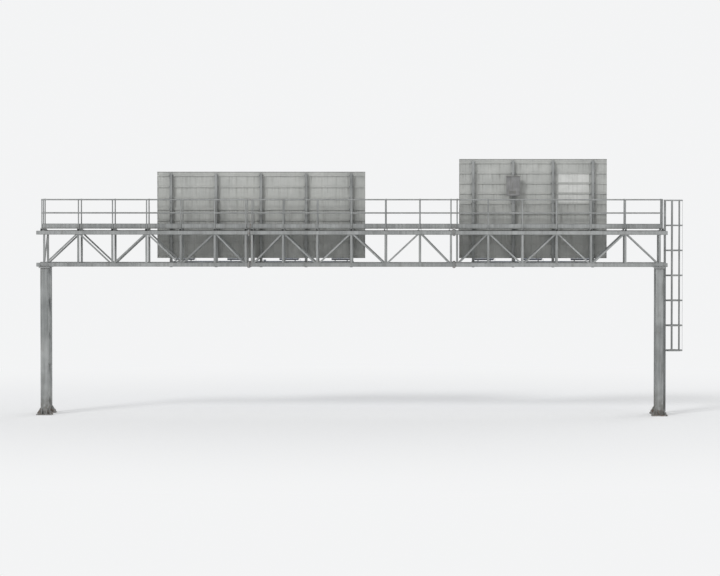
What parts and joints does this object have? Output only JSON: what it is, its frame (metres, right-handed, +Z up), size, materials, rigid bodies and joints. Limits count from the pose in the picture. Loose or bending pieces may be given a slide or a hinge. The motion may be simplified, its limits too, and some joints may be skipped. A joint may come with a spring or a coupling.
{
  "type": "overhead sign gantry",
  "caption": "Steel lattice portal gantry over a road, with direction signs on the boom, a railed walkway, a caged ladder and sign lamps.",
  "frame": {"origin": "middle of the four column bases, on the base plates' underside", "axes": "+X along the span towards the ladder, +Y along the road on the signs' side, +Z up"},
  "size_m": [25.2385, 3.375, 10],
  "materials": {
    "galvanised": "weathered galvanising, matt grey, rain streaked, with rust at the feet",
    "grating": "galvanised bar grating, matt",
    "sign_sheet": "bare mill aluminium, dulled and rain streaked",
    "sign_film": "retroreflective film, satin",
    "film_white": "white retroreflective film, satin",
    "lamp_body": "grey powder coat, matt",
    "lamp_glass": "clear toughened glass",
    "cabinet": "grey paint, satin",
    "fastener": "galvanised bolts, dull with rust at the edges"
  },
  "bodies": {
    "root": {"boom_left_front": "galvanised", "boom_left_rear": "galvanised", "boom_left_top": "galvanised", "boom_left_bottom": "galvanised", "boom_mid_front": "galvanised", "boom_mid_rear": "galvanised", "boom_mid_top": "galvanised", "boom_mid_bottom": "galvanised", "boom_right_front": "galvanised", "boom_right_rear": "galvanised", "boom_right_top": "galvanised", "boom_right_bottom": "galvanised", "sway_frames": "galvanised", "column_left_front": "galvanised", "column_left_rear": "galvanised", "column_right_front": "galvanised", "column_right_rear": "galvanised", "bracing_left": "galvanised", "bracing_right": "galvanised", "walkway_bearers": "galvanised", "handrail_left_front": "galvanised", "handrail_left_rear": "galvanised", "handrail_mid_front": "galvanised", "handrail_mid_rear": "galvanised", "handrail_right_front": "galvanised", "handrail_right_rear": "galvanised", "handrail_end": "galvanised", "landing_rails": "galvanised", "ladder": "galvanised", "ladder_cage": "galvanised", "sign_left_posts": "galvanised", "sign_right_posts": "galvanised", "lamp_arms_left": "galvanised", "lamp_arms_right": "galvanised", "cable_tray": "galvanised", "walkway_left": "grating", "walkway_mid": "grating", "walkway_right": "grating", "sign_left_face": "sign_sheet", "sign_left_rails": "sign_sheet", "sign_right_face": "sign_sheet", "sign_right_rails": "sign_sheet", "lamps_left": "lamp_body", "lamps_right": "lamp_body", "control_cabinet": "cabinet"}
  },
  "joints": []
}
